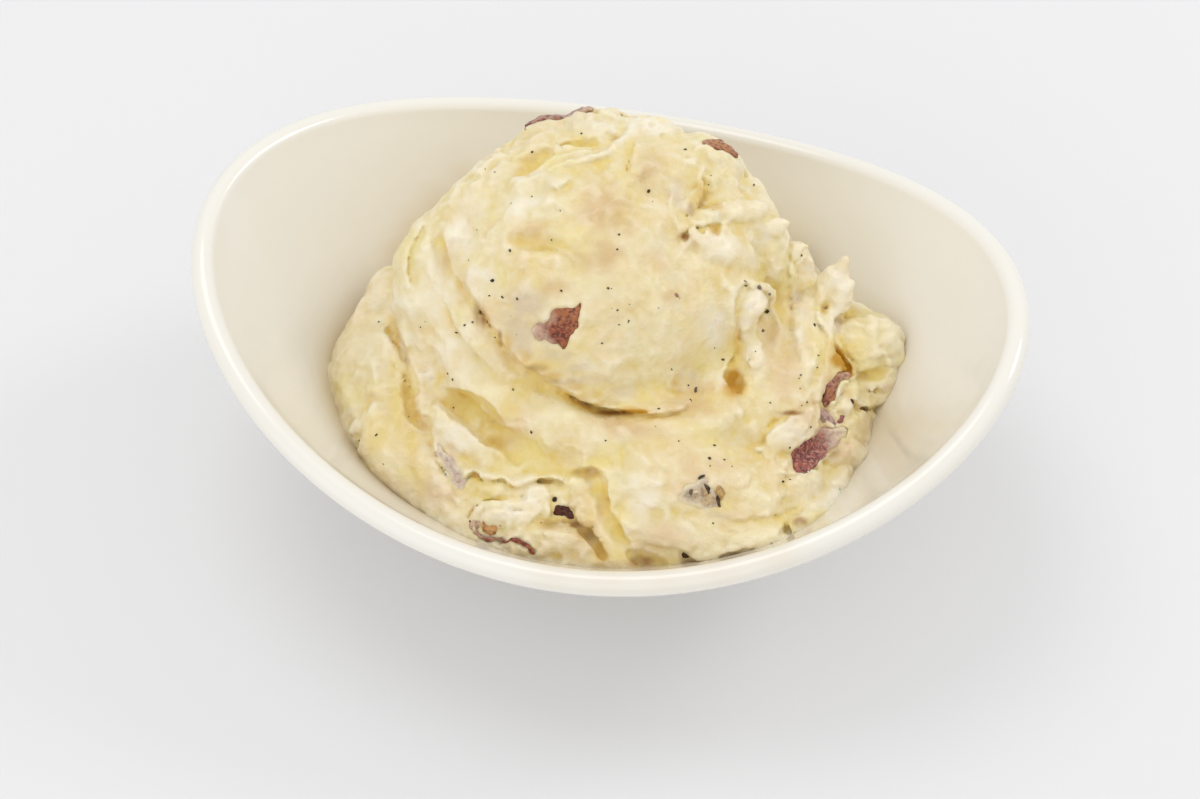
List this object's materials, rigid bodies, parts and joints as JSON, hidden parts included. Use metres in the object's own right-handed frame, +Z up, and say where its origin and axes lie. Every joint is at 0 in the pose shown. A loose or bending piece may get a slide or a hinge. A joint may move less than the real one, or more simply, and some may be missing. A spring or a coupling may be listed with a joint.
{
  "type": "mashed potato side in an oval bowl",
  "caption": "Heap of mashed potato with scraps of red skin, spooned into an oval bowl whose ends stand higher than its sides.",
  "frame": {"origin": "on the table, under the middle of the bowl's foot and of its oval rim", "axes": "+X along the bowl's length, towards the end on the right as seen from the front; +Y away from the front; +Z up"},
  "size_m": [0.19, 0.143, 0.0826],
  "materials": {
    "glaze": "gloss",
    "potato": "satin",
    "red_skin": "satin"
  },
  "bodies": {
    "root": {"bowl": "glaze", "mash": "potato", "skin_middle": "red_skin", "skin_right_upper": "red_skin", "skin_right_lower": "red_skin", "skin_front": "red_skin", "skin_front_left": "red_skin", "skin_left": "red_skin", "skin_crown_left": "red_skin", "skin_crown_right": "red_skin"}
  },
  "joints": []
}
